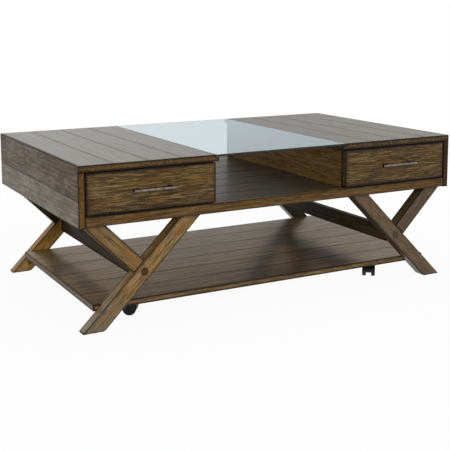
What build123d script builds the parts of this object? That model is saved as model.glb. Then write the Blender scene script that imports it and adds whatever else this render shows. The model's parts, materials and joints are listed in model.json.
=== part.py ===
from build123d import *
import os
from math import sqrt

# Overall size: the casters stand on the floor at Z = 0, the front is towards -Y
LENGTH = 1270.0
DEPTH = 762.0
HEIGHT = 472.0
CASE_HEIGHT = 170.0
FOOT_CLEARANCE = 4.5

# Boards of the case
BOARD = 19.0
FLOOR_DROP = 140.0
FLOOR_BOARD = 16.0
HOUSING_DEPTH = 4.0
RAIL_BOTTOM_DROP = 168.0
PARTITION_FACE = 225.5
TOP_LIP = 214.0
PLANK_GROOVE_WIDTH = 2.6
PLANK_GROOVE_DEPTH = 1.6
TOP_PLANKS = 4
FLOOR_PLANKS = 7
END_GROOVE_DROP = 95.0

# Loose glass and the clear pads that it lies on
GLASS_WIDTH = 449.0
GLASS_THICKNESS = 6.0
GLASS_GAP = 0.5
PAD_THICKNESS = 1.0
PAD_RADIUS = 4.0
PADS_PER_SIDE = 3
PAD_INSET = 16.0
GLASS_BEVEL = 0.8

# Drawers
DRAWER_GAP = 3.0
FRONT_BEVEL = 1.2
BOX_WALL = 12.0
BOX_HEIGHT = 90.0
BOX_DEPTH = 560.0
BOX_LIFT = 5.0
BOTTOM_PANEL = 6.0
BOTTOM_LIFT = 8.0
BOTTOM_HOUSING = 6.0
BOTTOM_PLAY = 0.2
TAILS = 3
TAIL_FLARE = 3.0
PULL_LENGTH = 132.0
PULL_SECTION = 8.0
PULL_POST_SPACING = 96.0
PULL_POST = 7.0
PULL_PROJECTION = 25.0
PULL_BEVEL = 1.0
PULL_DROP = 76.5

# Telescopic slides, three nested steel channels
SLIDE_THICKNESS = 12.7
SLIDE_LENGTH = 550.0
SLIDE_STEEL = 1.2
SLIDE_SETBACK = 3.0
SLIDE_DROP = 92.0
CASE_CHANNEL = (0.0, 9.0, 22.5)
MIDDLE_CHANNEL = (2.4, 10.0, 18.0)
DRAWER_CHANNEL = (12.7, 4.8, 13.0)

# Leg frames: each is a long leg with a short brace square to it
LEG_WIDTH = 45.0
LEG_THICKNESS = 36.0
LEG_SETBACK = 19.0
CROSSING_X = 440.0
CROSSING_Z = 157.0
LEG_BEVEL = 1.2
HEEL_EASE = 4.0
STRETCHER_THICKNESS = 20.0
STRETCHER_HEIGHT = 48.0
STRETCHER_DROP = 3.0
PLUG_RADIUS = 11.0
PLUG_DEPTH = 7.0
PLUG_PROUD = 0.6
BOLT_RADIUS = 4.0
BOLT_HEAD_RADIUS = 6.5
BOLT_HEAD = 8.0
BOLT_LENGTH = 75.0
HEX_KEY = 6.0
HOLE_PLAY = 0.2

# Lower shelf and the angle brackets that hold it to the legs
SHELF_LENGTH = 1161.0
SHELF_TOP = 72.0
SHELF_BOARD = 18.0
SHELF_PLANKS = 6
SHELF_BEVEL = 1.0
BRACKET_X = 555.0
BRACKET_WIDTH = 32.0
BRACKET_LEAF = 25.0
BRACKET_STEEL = 2.5

# Twin-wheel casters
CASTER_X = 422.0
CASTER_Y = 248.0
CASTER_TRAIL = 16.0
CASTER_PLATE = 38.0
CASTER_PLATE_STEEL = 2.5
PLATE_BEVEL = 5.0
WHEEL_RADIUS = 20.0
WHEEL_WIDTH = 12.5
WHEEL_BEVEL = 2.0
WHEEL_DISH_RADIUS = 14.5
WHEEL_DISH_DEPTH = 2.0
WHEEL_HUB_RADIUS = 5.5
HOOD_WIDTH = 42.0
HOOD_WEB = 16.0
HOOD_WALL = 2.0
HOOD_GAP = 1.0
HOOD_HUB_RADIUS = 10.0
SWIVEL_RADIUS = 5.0
SWIVEL_SINK = 21.0
SWIVEL_GAP = 1.0
AXLE_RADIUS = 3.0
RUNNING_PLAY = 0.05
PRESS_PLAY = 0.02
CASTER_TURN = {"front_left": -30.0, "front_right": 52.0, "back_left": 160.0, "back_right": 105.0}

# Levels and faces that follow from the sizes above
TOP_UNDER = HEIGHT - BOARD
FLOOR_TOP = HEIGHT - FLOOR_DROP
FLOOR_UNDER = FLOOR_TOP - FLOOR_BOARD
CASE_BOTTOM = HEIGHT - CASE_HEIGHT
RAIL_BOTTOM = HEIGHT - RAIL_BOTTOM_DROP
END_OUTER = LENGTH / 2
END_INNER = END_OUTER - BOARD
FACE_Y = DEPTH / 2
INNER_Y = FACE_Y - BOARD
PARTITION_BACK = PARTITION_FACE + BOARD
GLASS_EDGE = GLASS_WIDTH / 2 + GLASS_GAP
GLASS_UNDER = HEIGHT - GLASS_THICKNESS
LEG_OUTER_Y = FACE_Y - LEG_SETBACK
LEG_INNER_Y = LEG_OUTER_Y - LEG_THICKNESS
SHELF_UNDER = SHELF_TOP - SHELF_BOARD
BOX_X0 = PARTITION_BACK + SLIDE_THICKNESS
BOX_X1 = END_INNER - SLIDE_THICKNESS
BOX_Y0 = -INNER_Y
BOX_Y1 = BOX_Y0 + BOX_DEPTH
BOX_Z0 = FLOOR_TOP + BOX_LIFT
BOX_Z1 = BOX_Z0 + BOX_HEIGHT
FRONT_X0 = PARTITION_FACE
FRONT_X1 = END_INNER - DRAWER_GAP

# The origin is under the middle of the whole outline, pulls included
OUTLINE_SHIFT = PULL_PROJECTION / 2


def block(x_low, x_high, y_low, y_high, z_low, z_high):
    """A square-edged board between two opposite corners."""
    centre = ((x_low + x_high) / 2, (y_low + y_high) / 2, (z_low + z_high) / 2)
    return Pos(*centre) * Box(x_high - x_low, y_high - y_low, z_high - z_low)


def prism_along_y(points, y_low, y_high):
    """An outline of (X, Z) points, extruded from one Y to another."""
    face = Plane.XZ * Polygon(*points, align=None)
    return Pos(0, y_low, 0) * extrude(face, y_high - y_low, dir=(0, 1, 0))


def prism_along_x(points, x_low, x_high):
    """An outline of (Y, Z) points, extruded from one X to another."""
    face = Plane.YZ * Polygon(*points, align=None)
    return Pos(x_low, 0, 0) * extrude(face, x_high - x_low, dir=(1, 0, 0))


def groove_outline(across, surface):
    """The V between two planks, seen along it, cut down from a surface."""
    half = PLANK_GROOVE_WIDTH / 2
    return [(across - half, surface), (across, surface - PLANK_GROOVE_DEPTH), (across + half, surface)]


def rod_along_y(radius, x, y_low, y_high, z):
    """A round bar or hole that lies along Y."""
    return Pos(x, (y_low + y_high) / 2, z) * Rot(90, 0, 0) * Cylinder(radius, y_high - y_low)


def other_end(shape):
    """The same piece for the left end of the table."""
    return mirror(shape, about=Plane.YZ)


def other_face(shape):
    """The same piece for the back of the table."""
    return mirror(shape, about=Plane.XZ)


# Right top: planks run front to back, mitred to the end panel between two square lippings,
# with a rabbet along the inner edge for the glass
def make_top():
    top = block(TOP_LIP, END_OUTER, -FACE_Y, FACE_Y, TOP_UNDER, HEIGHT)
    top -= block(TOP_LIP, GLASS_EDGE, -FACE_Y, FACE_Y, GLASS_UNDER - PAD_THICKNESS, HEIGHT)
    top -= make_mitre_waste()
    plank = (END_OUTER - GLASS_EDGE) / TOP_PLANKS
    for count in range(1, TOP_PLANKS):
        top -= prism_along_y(groove_outline(GLASS_EDGE + count * plank, HEIGHT), -FACE_Y, FACE_Y)
    return top


def make_mitre_waste():
    """What the mitre takes off the top: the corner that belongs to the end panel."""
    corner = [(END_INNER, TOP_UNDER), (END_OUTER, TOP_UNDER), (END_OUTER, HEIGHT)]
    return prism_along_y(corner, -INNER_Y, INNER_Y)


# Right end panel: full height of the case, one plank line along its outer face
def make_end_panel():
    panel = block(END_INNER, END_OUTER, -FACE_Y, FACE_Y, CASE_BOTTOM, TOP_UNDER)
    panel += make_mitre_waste()
    half = PLANK_GROOVE_WIDTH / 2
    line = HEIGHT - END_GROOVE_DROP
    outline = [
        (END_OUTER, line - half),
        (END_OUTER - PLANK_GROOVE_DEPTH, line),
        (END_OUTER, line + half),
    ]
    return panel - prism_along_y(outline, -FACE_Y, FACE_Y)


# Right partition between the open bay and the drawer, housed in the case floor and covered at the
# front by the drawer front
def make_partition():
    return block(PARTITION_FACE, PARTITION_BACK, -INNER_Y, INNER_Y, FLOOR_TOP - HOUSING_DEPTH, TOP_UNDER)


# Case floor: planks along the table, flush with the top edges of the two rails, with a housing across
# it for each partition
def make_case_floor():
    floor = block(-END_INNER, END_INNER, -INNER_Y, INNER_Y, FLOOR_UNDER, FLOOR_TOP)
    floor -= make_partition()
    floor -= other_end(make_partition())
    plank = 2 * INNER_Y / FLOOR_PLANKS
    for count in range(1, FLOOR_PLANKS):
        line = -INNER_Y + count * plank
        floor -= prism_along_x(groove_outline(line, FLOOR_TOP), -PARTITION_FACE, PARTITION_FACE)
    return floor


def make_front_rail():
    return block(-END_INNER, END_INNER, -FACE_Y, -INNER_Y, RAIL_BOTTOM, FLOOR_TOP)


# Right back panel: fixed, closes the drawer bay behind
def make_back_panel():
    return block(PARTITION_FACE, END_INNER, INNER_Y, FACE_Y, FLOOR_TOP, TOP_UNDER)


# Glass: drops into the rabbets of the two tops and lies flush with them
def make_glass():
    glass = block(-GLASS_WIDTH / 2, GLASS_WIDTH / 2, -FACE_Y, FACE_Y, GLASS_UNDER, HEIGHT)
    return chamfer(glass.edges(), GLASS_BEVEL)


def make_glass_pads():
    x = (TOP_LIP + GLASS_EDGE) / 2
    z = GLASS_UNDER - PAD_THICKNESS / 2
    step = (DEPTH - 2 * PAD_INSET) / (PADS_PER_SIDE - 1)
    rows = [step * (count - (PADS_PER_SIDE - 1) / 2) for count in range(PADS_PER_SIDE)]
    return [Pos(side * x, y, z) * Cylinder(PAD_RADIUS, PAD_THICKNESS) for side in (-1, 1) for y in rows]


# Front right leg: from the outer foot up to the case floor, leaning inwards at 45 degrees, with its
# heel eased and a counterbore for the bolt and its plug at the crossing
def make_leg():
    half = LEG_WIDTH / sqrt(2)
    foot = CROSSING_X + CROSSING_Z - FOOT_CLEARANCE
    head = CROSSING_X - (FLOOR_UNDER - CROSSING_Z)
    heel_rise = HEEL_EASE / sqrt(2)
    outline = [
        (foot - half - heel_rise, FOOT_CLEARANCE + heel_rise),
        (foot - half + HEEL_EASE, FOOT_CLEARANCE),
        (foot + half, FOOT_CLEARANCE),
        (head + half, FLOOR_UNDER),
        (head - half, FLOOR_UNDER),
    ]
    leg = prism_along_y(outline, -LEG_OUTER_Y, -LEG_INNER_Y)
    leg = chamfer(leg.edges(), LEG_BEVEL)
    counterbore_end = -LEG_OUTER_Y + PLUG_DEPTH + BOLT_HEAD
    leg -= rod_along_y(PLUG_RADIUS + HOLE_PLAY, CROSSING_X, -LEG_OUTER_Y, counterbore_end, CROSSING_Z)
    leg -= rod_along_y(BOLT_RADIUS + HOLE_PLAY, CROSSING_X, -LEG_OUTER_Y, -LEG_INNER_Y, CROSSING_Z)
    return leg


# Front right brace: from the upper side of the leg up to the outer end of the case floor,
# trimmed at the end panel
def make_brace():
    half = LEG_WIDTH / sqrt(2)
    head = CROSSING_X + FLOOR_UNDER - CROSSING_Z
    trim = END_INNER - HOLE_PLAY
    outline = [
        (CROSSING_X, CROSSING_Z + half),
        (CROSSING_X + half, CROSSING_Z),
        (trim, trim - CROSSING_X - half + CROSSING_Z),
        (trim, FLOOR_UNDER),
        (head - half, FLOOR_UNDER),
    ]
    brace = prism_along_y(outline, -LEG_OUTER_Y, -LEG_INNER_Y)
    return chamfer(brace.edges(), LEG_BEVEL)


# Right stretcher: joins the front and back frames, a little lower than their crossings
def make_stretcher():
    x_low = CROSSING_X - STRETCHER_THICKNESS / 2
    z_low = CROSSING_Z - STRETCHER_DROP - STRETCHER_HEIGHT / 2
    stretcher = block(
        x_low,
        x_low + STRETCHER_THICKNESS,
        -LEG_INNER_Y,
        LEG_INNER_Y,
        z_low,
        z_low + STRETCHER_HEIGHT,
    )
    bolt_end = -LEG_OUTER_Y + PLUG_DEPTH + BOLT_LENGTH + 2 * HOLE_PLAY
    hole = rod_along_y(BOLT_RADIUS + HOLE_PLAY, CROSSING_X, -LEG_INNER_Y, bolt_end, CROSSING_Z)
    return stretcher - hole - other_face(hole)


# Socket-head bolt that draws a leg frame to the stretcher, and the wooden plug over it
def make_bolt():
    head_y = -LEG_OUTER_Y + PLUG_DEPTH
    head = rod_along_y(BOLT_HEAD_RADIUS, CROSSING_X, head_y, head_y + BOLT_HEAD, CROSSING_Z)
    shank = rod_along_y(BOLT_RADIUS, CROSSING_X, head_y, head_y + BOLT_LENGTH, CROSSING_Z)
    socket = RegularPolygon(HEX_KEY / sqrt(3), 6)
    key = Pos(CROSSING_X, head_y + BOLT_HEAD / 2, CROSSING_Z) * extrude(Plane.XZ * socket, BOLT_HEAD)
    return head + shank - key


def make_plug():
    y_low = -LEG_OUTER_Y - PLUG_PROUD
    plug = rod_along_y(PLUG_RADIUS, CROSSING_X, y_low, -LEG_OUTER_Y + PLUG_DEPTH, CROSSING_Z)
    face = plug.faces().sort_by(Axis.Y)[0]
    return chamfer(face.edges(), PLUG_PROUD)


# Lower shelf: planks along the table, held between the front and back legs
def make_shelf():
    half = SHELF_LENGTH / 2
    shelf = block(-half, half, -LEG_INNER_Y, LEG_INNER_Y, SHELF_UNDER, SHELF_TOP)
    shelf = chamfer(shelf.faces().sort_by(Axis.Z)[-1].edges(), SHELF_BEVEL)
    plank = 2 * LEG_INNER_Y / SHELF_PLANKS
    for count in range(1, SHELF_PLANKS):
        shelf -= prism_along_x(groove_outline(-LEG_INNER_Y + count * plank, SHELF_TOP), -half, half)
    return shelf


# Front right angle bracket, under the shelf and against the leg
def make_bracket():
    inner = -LEG_INNER_Y + BRACKET_LEAF
    low = SHELF_UNDER - BRACKET_LEAF
    outline = [
        (-LEG_INNER_Y, SHELF_UNDER),
        (-LEG_INNER_Y, low),
        (-LEG_INNER_Y + BRACKET_STEEL, low),
        (-LEG_INNER_Y + BRACKET_STEEL, SHELF_UNDER - BRACKET_STEEL),
        (inner, SHELF_UNDER - BRACKET_STEEL),
        (inner, SHELF_UNDER),
    ]
    return prism_along_x(outline, BRACKET_X - BRACKET_WIDTH / 2, BRACKET_X + BRACKET_WIDTH / 2)


# Slide channels beside the right drawer: the partition's one is drawn, the other mirrors it
def make_slide_pair(channel):
    web, tip, half = channel
    towards = 1 if tip > web else -1
    x_low = min(web, tip)
    x_high = max(web, tip)
    y_low = -INNER_Y + SLIDE_SETBACK
    centre = HEIGHT - SLIDE_DROP
    outer = block(x_low, x_high, y_low, y_low + SLIDE_LENGTH, centre - half, centre + half)
    hollow_x = (web + towards * SLIDE_STEEL, tip)
    hollow = block(
        min(hollow_x),
        max(hollow_x),
        y_low,
        y_low + SLIDE_LENGTH,
        centre - half + SLIDE_STEEL,
        centre + half - SLIDE_STEEL,
    )
    slide = Pos(PARTITION_BACK, 0, 0) * (outer - hollow)
    bay_middle = (PARTITION_BACK + END_INNER) / 2
    return [slide, mirror(slide, about=Plane.YZ.offset(bay_middle))]


# Drawer front: lies over the partition's edge, with a dark gap to the rail, top and end panel and
# its show face bevelled all round
def make_drawer_front():
    front = block(
        FRONT_X0,
        FRONT_X1,
        -FACE_Y,
        -INNER_Y,
        FLOOR_TOP + DRAWER_GAP,
        TOP_UNDER - DRAWER_GAP,
    )
    show_face = front.faces().sort_by(Axis.Y)[0]
    return chamfer(show_face.edges(), FRONT_BEVEL)


def make_tails(x_low, y_end, y_root):
    """The dovetails on one end of a drawer side, wider at the end than at the root."""
    pitch = BOX_HEIGHT / TAILS
    wide = pitch / 2 + TAIL_FLARE / 2
    narrow = pitch / 2 - TAIL_FLARE / 2
    tails = []
    for count in range(TAILS):
        middle = BOX_Z0 + pitch * (count + 0.5)
        outline = [
            (y_end, middle - wide / 2),
            (y_root, middle - narrow / 2),
            (y_root, middle + narrow / 2),
            (y_end, middle + wide / 2),
        ]
        tails.append(prism_along_x(outline, x_low, x_low + BOX_WALL))
    return tails


def make_bottom_space(play):
    """The drawer bottom with its edges housed in the four walls, or the groove that takes it."""
    housed = BOX_WALL - BOTTOM_HOUSING - play
    z_low = BOX_Z0 + BOTTOM_LIFT - play
    return block(
        BOX_X0 + housed,
        BOX_X1 - housed,
        BOX_Y0 + housed,
        BOX_Y1 - housed,
        z_low,
        z_low + BOTTOM_PANEL + 2 * play,
    )


# Dovetailed drawer box: tails on the two sides, pins on the front and back walls
def make_drawer_box():
    groove = make_bottom_space(BOTTOM_PLAY)
    walls = {}
    ends = ((BOX_Y0, BOX_Y0 + BOX_WALL), (BOX_Y1, BOX_Y1 - BOX_WALL))
    sides = {"left_side": BOX_X0, "right_side": BOX_X1 - BOX_WALL}
    every_tail = []
    for name, x_low in sides.items():
        side = block(x_low, x_low + BOX_WALL, BOX_Y0 + BOX_WALL, BOX_Y1 - BOX_WALL, BOX_Z0, BOX_Z1)
        for y_end, y_root in ends:
            tails = make_tails(x_low, y_end, y_root)
            side += tails
            every_tail += tails
        walls[name] = side - groove
    for name, (y_end, y_root) in zip(("box_front", "box_back"), ends):
        wall = block(BOX_X0, BOX_X1, min(y_end, y_root), max(y_end, y_root), BOX_Z0, BOX_Z1)
        walls[name] = wall - every_tail - groove
    walls["bottom"] = make_bottom_space(0)
    return walls


# Bar pull with two posts, standing off the drawer front
def make_pull():
    x = (FRONT_X0 + FRONT_X1) / 2
    z = HEIGHT - PULL_DROP
    bar_y = -FACE_Y - PULL_PROJECTION + PULL_SECTION / 2
    bar = Pos(x, bar_y, z) * Box(PULL_LENGTH, PULL_SECTION, PULL_SECTION)
    pull = chamfer(bar.edges(), PULL_BEVEL)
    for side in (-1, 1):
        post_x = x + side * PULL_POST_SPACING / 2
        pull += block(
            post_x - PULL_POST / 2,
            post_x + PULL_POST / 2,
            bar_y,
            -FACE_Y,
            z - PULL_POST / 2,
            z + PULL_POST / 2,
        )
    return pull


# One caster, drawn at the origin with its wheels trailing towards -X and its axle along Y
def make_caster_plate():
    plate_z = SHELF_UNDER - CASTER_PLATE_STEEL / 2
    plate = Pos(0, 0, plate_z) * Box(CASTER_PLATE, CASTER_PLATE, CASTER_PLATE_STEEL)
    plate = chamfer(plate.edges().filter_by(Axis.Z), PLATE_BEVEL)
    pin_length = CASTER_PLATE_STEEL + SWIVEL_SINK
    plate += Pos(0, 0, SHELF_UNDER - pin_length / 2) * Cylinder(SWIVEL_RADIUS, pin_length)
    return plate


def make_caster_hood():
    boss_top = SHELF_UNDER - CASTER_PLATE_STEEL - SWIVEL_GAP
    inner = WHEEL_RADIUS + HOOD_GAP
    outer = inner + HOOD_WALL
    axle = Pos(-CASTER_TRAIL, 0, WHEEL_RADIUS) * Rot(90, 0, 0)
    below_axle = Pos(-CASTER_TRAIL, 0, WHEEL_RADIUS - outer) * Box(4 * outer, 2 * HOOD_WIDTH, 2 * outer)
    fender = axle * (Cylinder(outer, HOOD_WIDTH) - Cylinder(inner, HOOD_WIDTH)) - below_axle
    web = axle * Cylinder(inner + HOOD_WALL / 2, HOOD_WEB) - below_axle
    hub = axle * Cylinder(HOOD_HUB_RADIUS, HOOD_WEB)
    boss = Pos(0, 0, (boss_top + WHEEL_RADIUS) / 2) * Cylinder(HOOD_WEB / 2, boss_top - WHEEL_RADIUS)
    hood = fender + web + hub + boss
    hood -= axle * Cylinder(AXLE_RADIUS + RUNNING_PLAY, HOOD_WIDTH)
    socket = Cylinder(SWIVEL_RADIUS + RUNNING_PLAY, SWIVEL_SINK)
    return hood - Pos(0, 0, boss_top - SWIVEL_SINK / 2) * socket


def make_caster_wheels():
    inner_face = HOOD_WEB / 2 + SWIVEL_GAP / 2
    middle = inner_face + WHEEL_WIDTH / 2
    wheel = Cylinder(WHEEL_RADIUS, WHEEL_WIDTH)
    wheel = chamfer(wheel.faces().sort_by(Axis.Z)[-1].edges(), WHEEL_BEVEL)
    dish = Cone(WHEEL_HUB_RADIUS, WHEEL_DISH_RADIUS, WHEEL_DISH_DEPTH)
    wheel -= Pos(0, 0, (WHEEL_WIDTH - WHEEL_DISH_DEPTH) / 2) * dish
    wheel -= Cylinder(AXLE_RADIUS + PRESS_PLAY, WHEEL_WIDTH)
    near_wheel = Pos(-CASTER_TRAIL, -middle, WHEEL_RADIUS) * Rot(90, 0, 0) * wheel
    return [near_wheel, other_face(near_wheel)]


def make_caster_axle():
    reach = HOOD_WEB / 2 + SWIVEL_GAP / 2 + WHEEL_WIDTH - WHEEL_DISH_DEPTH
    return rod_along_y(AXLE_RADIUS, -CASTER_TRAIL, -reach, reach, WHEEL_RADIUS)


def save(name, *solids):
    """Write one node: its solids, moved so that the origin is under the middle of the outline."""
    placed = [Pos(0, OUTLINE_SHIFT, 0) * solid for solid in solids]
    shape = placed[0] if len(placed) == 1 else Compound(children=placed)
    export_step(shape, f"parts/{name}.step")


def save_pair(name, right_solids):
    """Write a node for each end of the table from the solids of the right end."""
    save(f"right_{name}", *right_solids)
    save(f"left_{name}", *[other_end(solid) for solid in right_solids])


def corners(shape):
    """A front right piece at all four corners of the table."""
    back = other_face(shape)
    return {
        "front_right": shape,
        "front_left": other_end(shape),
        "back_right": back,
        "back_left": other_end(back),
    }


os.makedirs("parts", exist_ok=True)

save_pair("top", [make_top()])
save_pair("end_panel", [make_end_panel()])
save_pair("partition", [make_partition()])
save_pair("back_panel", [make_back_panel()])
save("case_floor", make_case_floor())
save("front_rail", make_front_rail())
save("back_rail", other_face(make_front_rail()))
save("glass", make_glass())
save("glass_pads", *make_glass_pads())

for corner, leg in corners(make_leg()).items():
    save(f"{corner}_leg", leg)
for corner, brace in corners(make_brace()).items():
    save(f"{corner}_brace", brace)
save_pair("stretcher", [make_stretcher()])
save("stretcher_bolts", *corners(make_bolt()).values())
save("leg_plugs", *corners(make_plug()).values())
save("shelf", make_shelf())
save("shelf_brackets", *corners(make_bracket()).values())

save_pair("case_slides", make_slide_pair(CASE_CHANNEL))
save_pair("middle_slides", make_slide_pair(MIDDLE_CHANNEL))
save_pair("drawer_slides", make_slide_pair(DRAWER_CHANNEL))
save_pair("drawer_front", [make_drawer_front()])
save_pair("drawer_pull", [make_pull()])
for wall_name, wall in make_drawer_box().items():
    save_pair(f"drawer_{wall_name}", [wall])

plates = []
for corner, turn in CASTER_TURN.items():
    x = CASTER_X if corner.endswith("right") else -CASTER_X
    y = -CASTER_Y if corner.startswith("front") else CASTER_Y
    stand = Pos(x, y, 0)
    swivel = stand * Rot(0, 0, turn)
    plates.append(stand * make_caster_plate())
    save(f"{corner}_caster_hood", swivel * make_caster_hood())
    save(f"{corner}_caster_wheels", *[swivel * wheel for wheel in make_caster_wheels()])
    save(f"{corner}_caster_axle", swivel * make_caster_axle())
save("caster_plates", *plates)
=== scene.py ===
import json
import math

import bmesh
import bpy
from mathutils import Matrix, Vector


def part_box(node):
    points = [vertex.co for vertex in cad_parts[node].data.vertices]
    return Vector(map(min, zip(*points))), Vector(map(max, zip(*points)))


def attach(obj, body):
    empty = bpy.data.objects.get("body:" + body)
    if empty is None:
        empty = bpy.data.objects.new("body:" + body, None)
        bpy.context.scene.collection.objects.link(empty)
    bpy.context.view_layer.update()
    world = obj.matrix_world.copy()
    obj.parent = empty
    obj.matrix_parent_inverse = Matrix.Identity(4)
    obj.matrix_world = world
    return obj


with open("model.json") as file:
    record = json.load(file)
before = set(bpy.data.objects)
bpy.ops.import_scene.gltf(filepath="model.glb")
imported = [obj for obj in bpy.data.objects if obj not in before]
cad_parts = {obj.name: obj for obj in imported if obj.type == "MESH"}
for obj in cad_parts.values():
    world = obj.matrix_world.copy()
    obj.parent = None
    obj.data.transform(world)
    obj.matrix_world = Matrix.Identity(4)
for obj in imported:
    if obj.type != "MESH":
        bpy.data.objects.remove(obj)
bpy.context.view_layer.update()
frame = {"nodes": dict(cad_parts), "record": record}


# Leg frames: four long legs lean inwards from the foot to the case floor, and four short braces butt
# square into them. Sawn from solid oak, wire brushed, stained and lacquered satin, the left frames golden
# brown and the right ones greyer. The back-left frame's bright gold is partly painted light from the left.
# On the back frames, all but the back-left leg, the faces towards the front are painted near-black as
# shade under the case.
MM = 0.001
ALONG_X = Vector((1, 0, 0))
ALONG_Y = Vector((0, 1, 0))
UP = Vector((0, 0, 1))
RISING = Vector((1, 0, 1)).normalized()
FALLING = Vector((-1, 0, 1)).normalized()
CORNERS = ["front_left", "front_right", "back_left", "back_right"]


def linear(hex_colour):
    """An sRGB hex colour as the linear red, green, blue and alpha that a shader takes."""
    channels = [int(hex_colour[place:place + 2], 16) / 255 for place in (1, 3, 5)]
    return [c / 12.92 if c <= 0.04045 else ((c + 0.055) / 1.055) ** 2.4 for c in channels] + [1.0]


def add(tree, kind, inputs, out=0, stops=(), **settings):
    """Add a node, set it, fill or link its inputs, and give one of its outputs."""
    node = tree.nodes.new(kind)
    for name, value in settings.items():
        setattr(node, name, value)
    for socket, value in inputs.items():
        if isinstance(value, bpy.types.NodeSocket):
            tree.links.new(value, node.inputs[socket])
        else:
            node.inputs[socket].default_value = value
    if stops:
        ramp = node.color_ramp
        ramp.elements[0].position = stops[0][0]
        ramp.elements[1].position = stops[-1][0]
        for place, colour in stops[1:-1]:
            ramp.elements.new(place)
        for element, (place, colour) in zip(ramp.elements, stops):
            element.color = linear(colour)
    return node.outputs[out] if node.outputs else None


def new_material(name):
    """An empty material and its node tree."""
    material = bpy.data.materials.new(name)
    material.use_nodes = True
    material.node_tree.nodes.clear()
    return material, material.node_tree


def dress(node, material):
    """Give a CAD node its finish."""
    for place in frame["nodes"][node].material_slots:
        place.material = material


def ease_edges(node, width):
    """Round the arrises of a sawn board by a sanding block's width, in mm."""
    piece = frame["nodes"][node]
    weld = piece.modifiers.new("one_skin", "WELD")
    weld.merge_threshold = 0.01 * MM
    flat = piece.modifiers.new("whole_faces", "DECIMATE")
    flat.decimate_type = "DISSOLVE"
    flat.angle_limit = math.radians(0.5)
    round_over = piece.modifiers.new("eased_edges", "BEVEL")
    round_over.width = width * MM
    round_over.segments = 2
    round_over.limit_method = "ANGLE"
    round_over.angle_limit = math.radians(25)
    round_over.harden_normals = True


# Stained oak: dark glaze stays in the brushed grain and on the arrises, golden patches show where it was
# wiped off, and satin lacquer over it turns grey where it mirrors a pale room at a low angle. The stain
# was mopped on by hand, so each frame and panel has a tone of its own; some of the stains below also
# carry painted light and painted shade.
OAK_STAIN = {
    "dark": "#160e07",
    "middle": "#4a371c",
    "light": "#997c4b",
    "glow": "#6d4c20",
    "haze": "#6f614c",
    "burnt": "#070403",
}
# Gold for the back-left frame: a golden stain, made brighter as painted light falling on it from the left.
GOLD_AND_LIT_STAIN = {
    **OAK_STAIN,
    "dark": "#3a290f",
    "middle": "#8e6a31",
    "light": "#cfab66",
    "glow": "#b47b2a",
    "haze": "#a58d66",
}
GREY_STAIN = {
    **OAK_STAIN,
    "dark": "#241b10",
    "middle": "#554530",
    "light": "#8a7657",
    "glow": "#6d5230",
    "haze": "#84755f",
}
BROWN_STAIN = {
    **OAK_STAIN,
    "dark": "#2d200e",
    "middle": "#745930",
    "light": "#ae9360",
    "glow": "#97682a",
    "haze": "#93897c",
    "worn_and_lit": "#777266",
}
# Painted shade: a near-black stain for wood in the shade under the case, used on the stretchers and on the
# front-facing faces of the back frames.
UNDER_CASE_SHADE_STAIN = {**OAK_STAIN, "middle": "#281e11", "light": "#4a3c28", "glow": "#392a14", "haze": "#5c4c30"}
# Sizes of the grain in mm, along it first; pores are drawn coarser than real ones, so that they show
RING_WIDTH = 7.0
RING_STRETCH = (0.1, 1, 1)
PITH_LEAN = (0, math.radians(1.6), math.radians(0.9))
PITH_PLACE = (0, -18, 30)
PLANK_SHIFT = (2400, 40, 24)
STREAK = (190.0, 6.0, 6.0)
FLECK = (36.0, 3.2, 3.2)
PORE = (20.0, 1.5, 1.5)
PATCH = (90.0, 34.0, 34.0)
SAW_MARK = 9.0
SAW_SLANT = math.radians(38)
SAW_PATCH = (270.0, 102.0, 102.0)
WAVE_TURN = 2 * math.pi / 20  # The scale at which a wave texture repeats once in each mm
GRAIN_DEPTH = 0.3
BURNT_EDGE = 10.0
RIM_WIDTH = 10.0
NICK_SPACING = 75.0
NICK_RADIUS = 2.0
PLUG_RADIUS = 11.0
MOST_WORN_AND_LIT = 0.75
EDGE_BLEND = 0.1
FLAT_FACE = 0.9992
TURNED_EDGE = 0.99
LACQUER_ROUGHNESS = 0.22


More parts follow.
